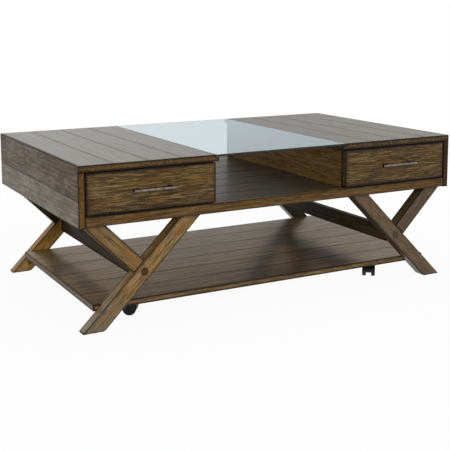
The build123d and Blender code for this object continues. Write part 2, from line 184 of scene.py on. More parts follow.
def wood_finish(
    name,
    node,
    stain,
    along,
    face,
    plank_line=None,
    plank_width=None,
    glow=0.35,
    wiped=0.45,
    soft_wipe=0.0,
    patch_size=PATCH,
    lacquer=0.0,
    all_round=False,
    glaze=0.0,
    strokes=0.0,
    burnt_edge=BURNT_EDGE,
    groove=1.0,
    edge_and_shade_stain=None,
    edge_turn=0.5,
    gloss=0.2,
    plank_tones=None,
    plank_coats=None,
    worn_and_lit_end=0.0,
    plug=None,
):
    """Wood with its grain along one direction and its show face along another, board by board.

    Plank lines and widths, patch_size, glaze, strokes, burnt_edge and worn_and_lit_end are in mm. A face counts as
    an edge where it turns from the show face past edge_turn, a cosine. The other numbers are shares.
    """
    material, tree = new_material(f"{name}_{node}")
    across = face.cross(along)
    low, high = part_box(node)
    corners = [Vector((x, y, z)) for x in (low.x, high.x) for y in (low.y, high.y) for z in (low.z, high.z)]
    edge = min(corner.dot(across) for corner in corners) / MM
    width = max(corner.dot(across) for corner in corners) / MM - edge
    start = min(corner.dot(along) for corner in corners) / MM
    length = max(corner.dot(along) for corner in corners) / MM - start
    if plank_width is None:
        plank_width = width
    if plank_line is None:
        plank_line = edge
    depth = (low + high).dot(face) / 2 / MM
    seed = sum(node.encode())

    # Place in mm: X along the grain, Y across the show face, Z through the board
    place = add(tree, "ShaderNodeTexCoord", {}, out="Object")
    size = add(tree, "ShaderNodeVectorMath", {0: place, "Scale": 1 / MM}, operation="SCALE")
    turn = Matrix((along, across, face)).to_euler()
    board = add(tree, "ShaderNodeMapping", {0: size, "Rotation": turn, "Location": (0, -plank_line, -depth)})
    beside = add(tree, "ShaderNodeSeparateXYZ", {0: board}, out="Y")
    share = add(tree, "ShaderNodeMath", {0: beside, 1: plank_width}, operation="DIVIDE")
    number = add(tree, "ShaderNodeMath", {0: share}, operation="FLOOR")
    draw = add(tree, "ShaderNodeMath", {0: number, 1: seed}, operation="ADD")
    chance = add(tree, "ShaderNodeTexWhiteNoise", {"W": draw}, out="Color", noise_dimensions="1D")
    middle = add(tree, "ShaderNodeMath", {0: number, 1: 0.5}, operation="ADD")
    centre = add(tree, "ShaderNodeVectorMath", {0: (0, plank_width, 0), "Scale": middle}, operation="SCALE")
    plank = add(tree, "ShaderNodeVectorMath", {0: board, 1: centre}, operation="SUBTRACT")
    plank = add(
        tree, "ShaderNodeVectorMath", {0: chance, 1: PLANK_SHIFT, 2: plank}, operation="MULTIPLY_ADD"
    )

    # Distance in from the nearest edge of the board
    run = add(tree, "ShaderNodeSeparateXYZ", {0: board}, out="X")
    inset = None
    for spot, begin, span in ((run, start, length), (beside, edge - plank_line, width)):
        off = add(tree, "ShaderNodeMath", {0: spot, 1: begin + span / 2}, operation="SUBTRACT")
        off = add(tree, "ShaderNodeMath", {0: off}, operation="ABSOLUTE")
        gap = add(tree, "ShaderNodeMath", {0: span / 2, 1: off}, operation="SUBTRACT")
        inset = gap if inset is None else add(tree, "ShaderNodeMath", {0: gap, 1: inset}, operation="MINIMUM")

    # Growth rings about a pith that lies below the face and leans away along the board
    pith = add(tree, "ShaderNodeMapping", {0: plank, "Rotation": PITH_LEAN, "Location": PITH_PLACE})
    drawn_out = add(tree, "ShaderNodeVectorMath", {0: pith, 1: RING_STRETCH}, operation="MULTIPLY")
    rings = add(
        tree,
        "ShaderNodeTexWave",
        {
            "Vector": drawn_out,
            "Scale": WAVE_TURN / RING_WIDTH,
            "Distortion": 9.0,
            "Detail": 2.0,
            "Detail Scale": 0.35,
        },
        out="Fac",
        wave_type="RINGS",
        rings_direction="X",
        wave_profile="SAW",
    )

    # Brushed streaks, open pores and wiped patches, each a noise stretched along the grain
    patterns = {}
    for kind, spread, detail in (
        ("streak", STREAK, 4),
        ("fleck", FLECK, 3),
        ("pore", PORE, 2),
        ("patch", patch_size, 3),
    ):
        stretch = [1 / span for span in spread]
        point = add(tree, "ShaderNodeVectorMath", {0: plank, 1: stretch}, operation="MULTIPLY")
        patterns[kind] = add(
            tree, "ShaderNodeTexNoise", {"Vector": point, "Scale": 1.0, "Detail": detail, "Roughness": 0.6}
        )
    streak = add(tree, "ShaderNodeMapRange", {0: patterns["streak"], 1: 0.39, 2: 0.61})
    fleck = add(tree, "ShaderNodeMapRange", {0: patterns["fleck"], 1: 0.37, 2: 0.63})
    pore = add(tree, "ShaderNodeMapRange", {0: patterns["pore"], 1: 0.56, 2: 0.7})
    patch = add(tree, "ShaderNodeMapRange", {0: patterns["patch"], 1: 0.42, 2: 0.68})
    bare = add(tree, "ShaderNodeMapRange", {0: patterns["patch"], 1: 0.5, 2: 0.3, 4: wiped})
    shade = add(tree, "ShaderNodeMix", {0: 0.4, 2: streak, 3: rings})
    shade = add(tree, "ShaderNodeMix", {0: 0.5, 2: shade, 3: fleck})

    # Saw marks: slanting scratches left by the mill along the lower edge, and faintly here and there
    slant = add(tree, "ShaderNodeMapping", {0: plank, "Rotation": (0, 0, SAW_SLANT)})
    saw = add(
        tree,
        "ShaderNodeTexWave",
        {"Vector": slant, "Scale": WAVE_TURN / SAW_MARK, "Distortion": 7.0, "Detail": 3.0},
        out="Fac",
    )
    stretch = [1 / span for span in SAW_PATCH]
    point = add(tree, "ShaderNodeVectorMath", {0: plank, 1: stretch}, operation="MULTIPLY")
    where = add(tree, "ShaderNodeTexNoise", {"Vector": point, "Scale": 1.0, "Detail": 1.0})
    where = add(tree, "ShaderNodeMapRange", {0: where, 1: 0.5, 2: 0.62, 4: 0.08})
    if strokes:
        foot = add(tree, "ShaderNodeMapRange", {0: beside, 1: strokes, 2: strokes / 4, 4: 0.22})
        where = add(tree, "ShaderNodeMath", {0: where, 1: foot}, operation="MAXIMUM")
    saw = add(tree, "ShaderNodeMath", {0: saw, 1: where}, operation="MULTIPLY")
    shade = add(tree, "ShaderNodeMath", {0: shade, 1: saw}, operation="SUBTRACT", use_clamp=True)

    own = add(tree, "ShaderNodeNewGeometry", {}, out="Normal")
    outward = add(tree, "ShaderNodeVectorMath", {0: own, 1: face}, out="Value", operation="DOT_PRODUCT")
    stops = [(0.0, stain["dark"]), (0.45, stain["middle"]), (1.0, stain["light"])]
    colour = add(tree, "ShaderNodeValToRGB", {0: shade}, stops=stops)
    warm = add(tree, "ShaderNodeMath", {0: patch, 1: glow}, operation="MULTIPLY")
    colour = add(
        tree, "ShaderNodeMix", {0: warm, 6: colour, 7: linear(stain["glow"])}, out=2, data_type="RGBA"
    )
    if plank_tones:
        tone = {0: number, 1: -1, 2: 0, 3: plank_tones[0], 4: plank_tones[1]}
    else:
        tone = {0: add(tree, "ShaderNodeSeparateXYZ", {0: chance}, out="Z"), 3: 0.8, 4: 1.15}
    tone = add(tree, "ShaderNodeMapRange", tone)
    thin = add(tree, "ShaderNodeMapRange", {0: fleck, 3: soft_wipe})
    haze = add(tree, "ShaderNodeMath", {0: bare, 1: thin}, operation="MULTIPLY")
    colour = add(
        tree, "ShaderNodeMix", {0: haze, 6: colour, 7: linear(stain["haze"])}, out=2, data_type="RGBA"
    )
    # Faces turned from the show face take a second stain: a real edge stain on boards, and painted shade on
    # the front-facing faces of the back frames.
    if edge_and_shade_stain:
        stops = [(0.0, edge_and_shade_stain["dark"]), (0.45, edge_and_shade_stain["middle"]), (1.0, edge_and_shade_stain["light"])]
        edge_and_shade_colour = add(tree, "ShaderNodeValToRGB", {0: shade}, stops=stops)
        turned_to = {0: outward, 1: edge_turn + EDGE_BLEND, 2: edge_turn - EDGE_BLEND}
        side = add(tree, "ShaderNodeMapRange", turned_to)
        colour = add(tree, "ShaderNodeMix", {0: side, 6: colour, 7: edge_and_shade_colour}, out=2, data_type="RGBA")
    colour = add(tree, "ShaderNodeVectorMath", {0: colour, "Scale": tone}, operation="SCALE")
    fill = add(tree, "ShaderNodeMath", {0: pore, 1: 0.7}, operation="MULTIPLY")
    colour = add(
        tree, "ShaderNodeMix", {0: fill, 6: colour, 7: linear(stain["dark"])}, out=2, data_type="RGBA"
    )

    # Stain worn thin, or laid on thicker, towards the end where the grain starts; on the shelf and the
    # stretchers this paler end is painted light instead of wear
    if worn_and_lit_end:
        worn_and_lit = add(tree, "ShaderNodeMapRange", {0: run, 1: start + worn_and_lit_end, 2: start, 4: MOST_WORN_AND_LIT})
        grain = add(tree, "ShaderNodeMapRange", {0: shade, 3: 0.35, 4: 1.65})
        worn_and_lit_colour = linear(stain.get("worn_and_lit", stain["haze"]))[:3]
        worn_and_lit_colour = add(tree, "ShaderNodeVectorMath", {0: worn_and_lit_colour, "Scale": grain}, operation="SCALE")
        colour = add(tree, "ShaderNodeMix", {0: worn_and_lit, 6: colour, 7: worn_and_lit_colour}, out=2, data_type="RGBA")

    # Glaze that the wiping cloth left along the four edges of the board
    if glaze:
        left_over = add(tree, "ShaderNodeMapRange", {0: inset, 1: glaze, 2: 0, 4: 0.6})
        uneven = add(tree, "ShaderNodeMapRange", {0: patterns["patch"], 1: 0.3, 2: 0.6, 3: 0.3})
        left_over = add(tree, "ShaderNodeMath", {0: left_over, 1: uneven}, operation="MULTIPLY")
        pool = {0: left_over, 6: colour, 7: linear(stain["dark"])}
        colour = add(tree, "ShaderNodeMix", pool, out=2, data_type="RGBA")

    # Burnt arrises: the normal of a rounded edge differs from the face's own normal only near an edge
    rounded = add(tree, "ShaderNodeBevel", {"Radius": burnt_edge * MM}, samples=8)
    same = add(tree, "ShaderNodeVectorMath", {0: rounded, 1: own}, out="Value", operation="DOT_PRODUCT")
    burnt = add(tree, "ShaderNodeMapRange", {0: same, 1: FLAT_FACE, 2: TURNED_EDGE})
    if groove < 1:
        level = {0: inset, 1: RIM_WIDTH, 2: RIM_WIDTH + 2, 3: 1.0, 4: groove}
        level = add(tree, "ShaderNodeMapRange", level)
        burnt = add(tree, "ShaderNodeMath", {0: burnt, 1: level}, operation="MULTIPLY")
    rub = add(tree, "ShaderNodeMapRange", {0: patterns["patch"], 1: 0.3, 2: 0.75, 3: 1.0, 4: 0.85})
    burnt = add(tree, "ShaderNodeMath", {0: burnt, 1: rub}, operation="MULTIPLY")
    if plug:
        off = add(tree, "ShaderNodeVectorMath", {0: size, 1: plug}, operation="SUBTRACT")
        off = add(tree, "ShaderNodeVectorMath", {0: off, 1: (1, 0, 1)}, operation="MULTIPLY")
        off = add(tree, "ShaderNodeVectorMath", {0: off}, out="Value", operation="LENGTH")
        clean = add(tree, "ShaderNodeMapRange", {0: off, 1: PLUG_RADIUS, 2: 2 * PLUG_RADIUS})
        burnt = add(tree, "ShaderNodeMath", {0: burnt, 1: clean}, operation="MULTIPLY")

    # Nicks: small dents beaten in before the glaze, which then filled them
    point = add(tree, "ShaderNodeVectorMath", {0: plank, "Scale": 1 / NICK_SPACING}, operation="SCALE")
    dent = add(tree, "ShaderNodeTexVoronoi", {"Vector": point, "Scale": 1.0}, out="Distance")
    reach = NICK_RADIUS / NICK_SPACING
    dent = add(tree, "ShaderNodeMapRange", {0: dent, 1: reach, 2: reach / 2, 4: 0.8})
    burnt = add(tree, "ShaderNodeMath", {0: burnt, 1: dent}, operation="MAXIMUM")
    colour = add(
        tree, "ShaderNodeMix", {0: burnt, 6: colour, 7: linear(stain["burnt"])}, out=2, data_type="RGBA"
    )

    relief = add(tree, "ShaderNodeMix", {0: 0.5, 2: streak, 3: rings})
    relief = add(tree, "ShaderNodeMath", {0: relief, 1: pore}, operation="SUBTRACT")
    relief = add(tree, "ShaderNodeMath", {0: relief, 1: dent}, operation="SUBTRACT")
    relief = add(tree, "ShaderNodeMath", {0: relief, 1: saw}, operation="SUBTRACT")
    bump = add(tree, "ShaderNodeBump", {"Height": relief, "Strength": 0.4, "Distance": GRAIN_DEPTH * MM})
    rough = add(tree, "ShaderNodeMapRange", {0: streak, 3: 0.52, 4: 0.4})
    coat = 0.0
    if lacquer:
        coat = add(tree, "ShaderNodeMapRange", {0: burnt, 3: lacquer, 4: 0.0})
        if not all_round:
            polish = add(tree, "ShaderNodeMapRange", {0: outward, 1: 0.5, 2: 0.9})
            coat = add(tree, "ShaderNodeMath", {0: coat, 1: polish}, operation="MULTIPLY")
        if plank_coats:
            share = {0: number, 1: -1, 2: 0, 3: plank_coats[0], 4: plank_coats[1]}
            share = add(tree, "ShaderNodeMapRange", share)
            coat = add(tree, "ShaderNodeMath", {0: coat, 1: share}, operation="MULTIPLY")
    wood = add(
        tree,
        "ShaderNodeBsdfPrincipled",
        {
            "Base Color": colour,
            "Roughness": rough,
            "Normal": bump,
            "Specular IOR Level": gloss,
            "Coat Weight": coat,
            "Coat Roughness": LACQUER_ROUGHNESS,
        },
    )
    add(tree, "ShaderNodeOutputMaterial", {"Surface": wood})
    return material


BLOTCH = (34.0, 15.0, 15.0)
LEG_EDGE = 7.0
LEG_WEAR = 150.0
LEFT_STAINS = {"front_left": BROWN_STAIN, "back_left": GOLD_AND_LIT_STAIN}
low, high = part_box("leg_plugs")
crossing_x = high.x / MM - PLUG_RADIUS
crossing_z = (low.z + high.z) / 2 / MM
for corner in CORNERS:
    leg_way, brace_way = (RISING, FALLING) if "left" in corner else (FALLING, RISING)
    show_face = -ALONG_Y if "front" in corner else ALONG_Y
    stain = LEFT_STAINS.get(corner, GREY_STAIN)
    crossing = (-crossing_x if "left" in corner else crossing_x, 0, crossing_z)
    for piece, way in (("leg", leg_way), ("brace", brace_way)):
        node = f"{corner}_{piece}"
        # Painted shade: on the back frames, all but the back-left leg, faces turned towards the front take
        # the near-black shade stain.
        shaded_inner_stain = UNDER_CASE_SHADE_STAIN if "back" in corner and node != "back_left_leg" else None
        leg_oak = wood_finish(
            "stained_oak",
            node,
            stain,
            way,
            show_face,
            glow=0.75,
            patch_size=BLOTCH,
            lacquer=0.28,
            all_round=True,
            burnt_edge=LEG_EDGE,
            edge_and_shade_stain=shaded_inner_stain,
            edge_turn=-0.5,
            worn_and_lit_end=LEG_WEAR if node == "front_left_leg" else 0.0,
            plug=crossing,
        )
        dress(node, leg_oak)


# Plugs and bolts: a turned walnut plug hides the bolt at each crossing, the right ones stained over with
# their frames. The bolts are zinc-plated steel with hexagon sockets and draw the frames to the stretchers.
# Walnut: close grained and red brown, with little gloss.
PLUG_EDGE = 1.5
STAINED_OVER = 200.0
WALNUT_STAIN = {
    "dark": "#1c0f08",
    "middle": "#4a2c17",
    "light": "#633d22",
    "glow": "#6b3a1c",
    "haze": "#4f3624",
    "worn_and_lit": "#4b4030",
    "burnt": "#100805",
}
plug_walnut = wood_finish(
    "walnut",
    "leg_plugs",
    WALNUT_STAIN,
    -ALONG_X,
    -ALONG_Y,
    burnt_edge=PLUG_EDGE,
    worn_and_lit_end=STAINED_OVER,
)
dress("leg_plugs", plug_walnut)


# Zinc-plated steel: rolled or turned, with a thin bright plating that leaves a cool, slightly mottled
# grey and fine lines along the piece.
ROLLED_LINE = 0.8
ROLLED_STRETCH = (1, 0.04, 1)
SPANGLE = 9.0


def plated_steel(name, dull, bright):
    """Rolled steel under a thin plating, mottled from a dull to a bright colour."""
    material, tree = new_material(name)
    place = add(tree, "ShaderNodeTexCoord", {}, out="Object")
    lines = add(tree, "ShaderNodeVectorMath", {0: place, 1: ROLLED_STRETCH}, operation="MULTIPLY")
    lines = {"Vector": lines, "Scale": 1 / (ROLLED_LINE * MM), "Detail": 2.0}
    rolled = add(tree, "ShaderNodeTexNoise", lines)
    spangle = {"Vector": place, "Scale": 1 / (SPANGLE * MM), "Detail": 3.0}
    spangle = add(tree, "ShaderNodeTexNoise", spangle)
    stops = [(0.3, dull), (0.7, bright)]
    colour = add(tree, "ShaderNodeValToRGB", {0: spangle}, stops=stops)
    rough = add(tree, "ShaderNodeMapRange", {0: rolled, 1: 0.3, 2: 0.7, 3: 0.28, 4: 0.46})
    bump = add(tree, "ShaderNodeBump", {"Height": rolled, "Strength": 0.08, "Distance": 0.05 * MM})
    metal = add(
        tree,
        "ShaderNodeBsdfPrincipled",
        {"Base Color": colour, "Metallic": 1.0, "Roughness": rough, "Normal": bump},
    )
    add(tree, "ShaderNodeOutputMaterial", {"Surface": metal})
    return material


ZINC = plated_steel("zinc_plated_steel", "#9a9da0", "#b4b7ba")
dress("stretcher_bolts", ZINC)


# Stretchers: one oak board at each end joins the front frame to the back frame at the crossings.
# Sawn with its grain from front to back. Their near-black colour is painted shade from the case above,
# and the paler front end is painted light.
DULL = 0.08
STRETCHER_LIT_FRONT = 340.0
WIDE_EASE = 1.0
for side, outward in (("left", -ALONG_X), ("right", ALONG_X)):
    node = f"{side}_stretcher"
    stretcher_oak = wood_finish(
        "stained_oak", node, UNDER_CASE_SHADE_STAIN, ALONG_Y, outward, gloss=DULL, worn_and_lit_end=STRETCHER_LIT_FRONT
    )
    dress(node, stretcher_oak)
    ease_edges(node, WIDE_EASE)


# Shelf: six oak planks glued up edge to edge with a V between them, fixed between the leg frames by
# four bronzed steel angle brackets. Stained in long streaks and lacquered. Its stain is darkened as
# painted shade under the case, and its left end is lightened as painted light from the left.
SHELF_PLANKS = 6
SHELF_STREAK = (170.0, 22.0, 22.0)
SHELF_LIT_END = 420.0
low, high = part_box("shelf")
plank_width = (high.y - low.y) / SHELF_PLANKS / MM
SHELF_SHADED_STAIN = {
    **GREY_STAIN,
    "dark": "#160e06",
    "middle": "#4e371c",
    "light": "#8a6c3e",
    "glow": "#2b1c0c",
    "haze": "#957849",
    "worn_and_lit": "#80653e",
}
SHELF_EDGE = {**SHELF_SHADED_STAIN, "dark": "#3d2b18", "middle": "#7f603a", "light": "#b0905c"}
shelf_oak = wood_finish(
    "stained_oak",
    "shelf",
    SHELF_SHADED_STAIN,
    ALONG_X,
    UP,
    plank_width=plank_width,
    glow=0.75,
    wiped=0.7,
    patch_size=SHELF_STREAK,
    lacquer=0.44,
    groove=0.5,
    edge_and_shade_stain=SHELF_EDGE,
    worn_and_lit_end=SHELF_LIT_END,
)
dress("shelf", shelf_oak)
BRONZED_STEEL = plated_steel("bronzed_steel", "#3d2f1e", "#57442b")
dress("shelf_brackets", BRONZED_STEEL)


# Bracket screws: pan-head wood screws with a cross recess, one up into the shelf and one into the leg
# through each bracket. Cold-headed steel, bronzed as the brackets are.
SCREW_SIDES = 24
SCREW_HEAD = [
    (3.4, 0, 0),
    (3.4, 0.5, 0.5),
    (2.9, 1.3, 1.3),
    (2.1, 1.7, 0.6),
    (0.7, 1.8, 0.4),
    (0, 0.3, 0.3),
]


def turned(name, spots, profile, material, body):
    """Small turned pieces, each at a place with its axis.

    A row of the profile is radius, height, and height in the arms of a cross, in mm.
    """
    build = bmesh.new()
    for place, axis in spots:
        upright = UP.rotation_difference(axis).to_matrix()
        rows = []
        for radius, height, sunk in profile:
            row = []
            for step in range(SCREW_SIDES):
                angle = 2 * math.pi * step / SCREW_SIDES
                rise = sunk if step % (SCREW_SIDES // 4) == 0 else height
                point = Vector((radius * math.cos(angle), radius * math.sin(angle), rise)) * MM
                row.append(build.verts.new(place + upright @ point))
            rows.append(row)
        for under, over in zip(rows, rows[1:]):
            for step in range(SCREW_SIDES):
                after = (step + 1) % SCREW_SIDES
                build.faces.new((under[step], under[after], over[after], over[step]))
    bmesh.ops.remove_doubles(build, verts=build.verts, dist=0.001 * MM)
    mesh = bpy.data.meshes.new(name)
    build.to_mesh(mesh)
    build.free()
    mesh.materials.append(material)
    piece = bpy.data.objects.new(name, mesh)
    bpy.context.scene.collection.objects.link(piece)
    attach(piece, body)
    return piece


BRACKET_STEEL = 2.5
BRACKET_WIDTH = 32.0
BRACKET_HOLE = 14.0
low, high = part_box("shelf_brackets")
shelf_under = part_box("shelf")[0].z
leg_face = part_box("front_left_leg")[1].y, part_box("back_left_leg")[0].y
bracket_x = high.x - BRACKET_WIDTH / 2 * MM
spots = []
for x in (-bracket_x, bracket_x):
    for face_y, inward in zip(leg_face, (1, -1)):
        under = Vector((x, face_y + inward * BRACKET_HOLE * MM, shelf_under - BRACKET_STEEL * MM))
        beside = Vector((x, face_y + inward * BRACKET_STEEL * MM, shelf_under - BRACKET_HOLE * MM))
        spots += [(under, -UP), (beside, inward * ALONG_Y)]
turned("bracket_screws", spots, SCREW_HEAD, BRONZED_STEEL, "table")


# Casters: moulded black nylon twin wheels under a nylon hood, on a steel axle and a steel plate.
# The hood swivels on the pin of the plate, which is screwed up under the shelf.
dress("caster_plates", ZINC)
PLATE_STEEL = 2.5
PLATE_HOLE = 13.0
JOINTS = {joint["name"]: joint for joint in frame["record"]["behaviour"]["joints"]}
spots = []
for corner in CORNERS:
    pivot = JOINTS[f"{corner}_swivel"]["pos_m"]
    for x in (-PLATE_HOLE, PLATE_HOLE):
        for y in (-PLATE_HOLE, PLATE_HOLE):
            place = Vector((pivot[0] + x * MM, pivot[1] + y * MM, shelf_under - PLATE_STEEL * MM))
            spots.append((place, -UP))
turned("caster_plate_screws", spots, SCREW_HEAD, ZINC, "table")


# Black nylon: moulded in a finely sparked tool, so it has a low even gloss, a faint pebble and a cool
# sheen, with paler scuffs here and there.
PEBBLE = 0.9
SCUFF = 7.0


def black_nylon():
    """The moulded finish of hoods, wheels and hub caps."""
    material, tree = new_material("black_nylon")
    place = add(tree, "ShaderNodeTexCoord", {}, out="Object")
    pebble = {"Vector": place, "Scale": 1 / (PEBBLE * MM), "Detail": 2.0}
    pebble = add(tree, "ShaderNodeTexNoise", pebble)
    scuff = {"Vector": place, "Scale": 1 / (SCUFF * MM), "Detail": 4.0}
    scuff = add(tree, "ShaderNodeTexNoise", scuff)
    stops = [(0.35, "#050609"), (0.62, "#0c0d11"), (0.8, "#191b1f")]
    colour = add(tree, "ShaderNodeValToRGB", {0: scuff}, stops=stops)
    rough = add(tree, "ShaderNodeMapRange", {0: scuff, 1: 0.3, 2: 0.8, 3: 0.36, 4: 0.58})
    bump = add(tree, "ShaderNodeBump", {"Height": pebble, "Strength": 0.2, "Distance": 0.08 * MM})
    nylon = add(
        tree,
        "ShaderNodeBsdfPrincipled",
        {"Base Color": colour, "Roughness": rough, "Normal": bump, "Specular IOR Level": 0.25},
    )
    add(tree, "ShaderNodeOutputMaterial", {"Surface": nylon})
    return material


NYLON = black_nylon()
for corner in CORNERS:
    dress(f"{corner}_caster_hood", NYLON)
    dress(f"{corner}_caster_wheels", NYLON)
    dress(f"{corner}_caster_axle", ZINC)


# Hub caps: domed nylon discs, moulded as the wheels are and pressed over both ends of each axle, so that
# the wheels show black all over.
AXLE_REACH = 19.0
HUB_CAP = [(5.3, 0, 0), (5.3, 0.6, 0.6), (4.6, 1.2, 1.2), (2.5, 1.6, 1.6), (0, 1.7, 1.7)]
for corner in CORNERS:
    roll = JOINTS[f"{corner}_roll"]
    axle = Vector(roll["axis"])
    spots = [(Vector(roll["pos_m"]) + way * AXLE_REACH * MM * axle, way * axle) for way in (-1, 1)]
    turned(f"{corner}_hub_caps", spots, HUB_CAP, NYLON, f"{corner}_wheels")


# Case: a floor of oak planks between two rails, partitions beside the open bay, back panels behind the
# drawers, end panels, and tops mitred to the end panels. Glued up and stained as one piece.
FLOOR_PLANKS = 7
TOP_PLANKS = 4
END_LINE_DROP = 95.0
GLASS_GAP = 0.5
THIN_EDGE = 5.0
NARROW_EASE = 0.8
low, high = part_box("case_floor")
plank_width = (high.y - low.y) / FLOOR_PLANKS / MM
# Painted shade: the case floor is stained near-black for the shade inside the case and the bay.
BAY_SHADE_FLOOR_STAIN = {
    **OAK_STAIN,
    "dark": "#120c08",
    "middle": "#2a2018",
    "light": "#453930",
    "glow": "#382a1f",
    "haze": "#3d3630",
}
floor_oak = wood_finish(
    "stained_oak", "case_floor", BAY_SHADE_FLOOR_STAIN, ALONG_X, UP, plank_width=plank_width, lacquer=0.25
)
dress("case_floor", floor_oak)
EDGE_STAIN = {**OAK_STAIN, "dark": "#24180b", "middle": "#5a411f", "light": "#8f6d3b"}
DEEP_EDGE = {**OAK_STAIN, "middle": "#3b2a19", "light": "#5f4932"}
for node, show_face in (("front_rail", -ALONG_Y), ("back_rail", ALONG_Y)):
    dress(node, wood_finish("stained_oak", node, EDGE_STAIN, ALONG_X, show_face, burnt_edge=THIN_EDGE))
    ease_edges(node, NARROW_EASE)
TOP_STAIN = {**OAK_STAIN, "dark": "#251b0e", "middle": "#3b2c18", "light": "#5d4a2d", "glow": "#4f391c"}
END_STAIN = {**GREY_STAIN, "dark": "#1a1209", "light": "#a48d69", "haze": "#93836c", "glow": "#513a20"}
glass_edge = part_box("glass")[1].x / MM + GLASS_GAP
for side, outward, way, top_edge, end_edge, polish in (
    ("left", -ALONG_X, -1, EDGE_STAIN, EDGE_STAIN, 0.74),
    ("right", ALONG_X, 1, OAK_STAIN, DEEP_EDGE, 0.56),
):
    for piece, stain, along, face in (
        ("partition", EDGE_STAIN, ALONG_Y, -outward),
        ("back_panel", OAK_STAIN, ALONG_X, ALONG_Y),
    ):
        node = f"{side}_{piece}"
        dress(node, wood_finish("stained_oak", node, stain, along, face, gloss=DULL))
        ease_edges(node, NARROW_EASE)
    node = f"{side}_top"
    low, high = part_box(node)
    outer_edge = max(abs(low.x), abs(high.x)) / MM
    plank_width = (outer_edge - glass_edge) / TOP_PLANKS
    line = way * glass_edge * UP.cross(ALONG_Y).x
    top_oak = wood_finish(
        "stained_oak",
        node,
        TOP_STAIN,
        ALONG_Y,
        UP,
        line,
        plank_width,
        lacquer=polish,
        groove=0.4,
        edge_and_shade_stain=top_edge,
    )
    dress(node, top_oak)
    ease_edges(node, WIDE_EASE)
    node = f"{side}_end_panel"
    line = (high.z / MM - END_LINE_DROP) * outward.cross(ALONG_Y).z
    end_oak = wood_finish(
        "stained_oak",
        node,
        END_STAIN,
        ALONG_Y,
        outward,
        line,
        END_LINE_DROP,
        wiped=0.75,
        soft_wipe=0.7,
        burnt_edge=THIN_EDGE,
        groove=0.6,
        edge_and_shade_stain=end_edge,
        glow=0.75,
        gloss=DULL,
        lacquer=0.36,
        plank_tones=(1.0, 1.2)[::-way],
        plank_coats=(0.2, 0.8)[::-way],
    )
    dress(node, end_oak)
    ease_edges(node, WIDE_EASE)


# Drawer slides: three nested channels of folded zinc-plated steel on each side of a drawer, screwed to
# the case and to the drawer box, with the middle channel running between them.
for side in ("left", "right"):
    for piece in ("case_slides", "middle_slides", "drawer_slides"):
        dress(f"{side}_{piece}", ZINC)


# Drawer boxes: dovetailed poplar boards with a plywood bottom in grooves, sanded and sealed clear.
# Poplar: pale, straight and even, with a faint green cast and little gloss.
POPLAR_STAIN = {
    "dark": "#8f7a55",
    "middle": "#b9a47b",
    "light": "#cdbb94",
    "glow": "#b79c6a",
    "haze": "#bfb08a",
    "burnt": "#7d6845",
}
BOX_BOARDS = {
    "drawer_left_side": (ALONG_Y, ALONG_X),
    "drawer_right_side": (ALONG_Y, ALONG_X),
    "drawer_box_front": (ALONG_X, ALONG_Y),
    "drawer_box_back": (ALONG_X, ALONG_Y),
    "drawer_bottom": (ALONG_X, UP),
}
for side in ("left", "right"):
    for piece, (along, face) in BOX_BOARDS.items():
        node = f"{side}_{piece}"
        dress(node, wood_finish("clear_poplar", node, POPLAR_STAIN, along, face))


# Drawer fronts: a single oak board over each box, brushed, stained and edge burnt as the case is,
# screwed on from inside the box.
GLAZE_WIDTH = 20.0
SAW_REACH = 34.0
for side in ("left", "right"):
    node = f"{side}_drawer_front"
    front_oak = wood_finish(
        "stained_oak", node, OAK_STAIN, ALONG_X, -ALONG_Y, glaze=GLAZE_WIDTH, strokes=SAW_REACH
    )
    dress(node, front_oak)


# Pulls: square bars of cast zinc on two posts, plated in nickel, aged and rubbed back in front.
# Aged nickel: bright warm grey and brushed along the front of the bar. Its other faces are painted nearly
# black, as painted shade on the ends, top and underside.
BRUSH_LINE = 0.7
BRUSH_STRETCH = (0.03, 1, 1)
TARNISH = 14.0


def aged_nickel():
    """The finish of the two pulls."""
    material, tree = new_material("aged_nickel")
    place = add(tree, "ShaderNodeTexCoord", {}, out="Object")
    brushed = add(tree, "ShaderNodeVectorMath", {0: place, 1: BRUSH_STRETCH}, operation="MULTIPLY")
    lines = {"Vector": brushed, "Scale": 1 / (BRUSH_LINE * MM), "Detail": 3.0}
    lines = add(tree, "ShaderNodeTexNoise", lines)
    cloud = {"Vector": place, "Scale": 1 / (TARNISH * MM), "Detail": 4.0}
    cloud = add(tree, "ShaderNodeTexNoise", cloud)
    stops = [(0.3, "#625951"), (0.7, "#938880")]
    colour = add(tree, "ShaderNodeValToRGB", {0: cloud}, stops=stops)
    # Painted shade: every face not turned to the front is mixed to near-black.
    own = add(tree, "ShaderNodeNewGeometry", {}, out="Normal")
    facing = add(tree, "ShaderNodeVectorMath", {0: own, 1: -ALONG_Y}, out="Value", operation="DOT_PRODUCT")
    painted_shade_off_front = add(tree, "ShaderNodeMapRange", {0: facing, 1: 0.97, 2: 0.8, 4: 0.97})
    colour = add(
        tree, "ShaderNodeMix", {0: painted_shade_off_front, 6: colour, 7: linear("#0e0b09")}, out=2, data_type="RGBA"
    )
    rough = add(tree, "ShaderNodeMapRange", {0: lines, 1: 0.3, 2: 0.7, 3: 0.26, 4: 0.42})
    bump = add(tree, "ShaderNodeBump", {"Height": lines, "Strength": 0.2, "Distance": 0.05 * MM})
    metal = add(
        tree,
        "ShaderNodeBsdfPrincipled",
        {"Base Color": colour, "Metallic": 1.0, "Roughness": rough, "Normal": bump},
    )
    add(tree, "ShaderNodeOutputMaterial", {"Surface": metal})
    return material


NICKEL = aged_nickel()
for side in ("left", "right"):
    dress(f"{side}_drawer_pull", NICKEL)


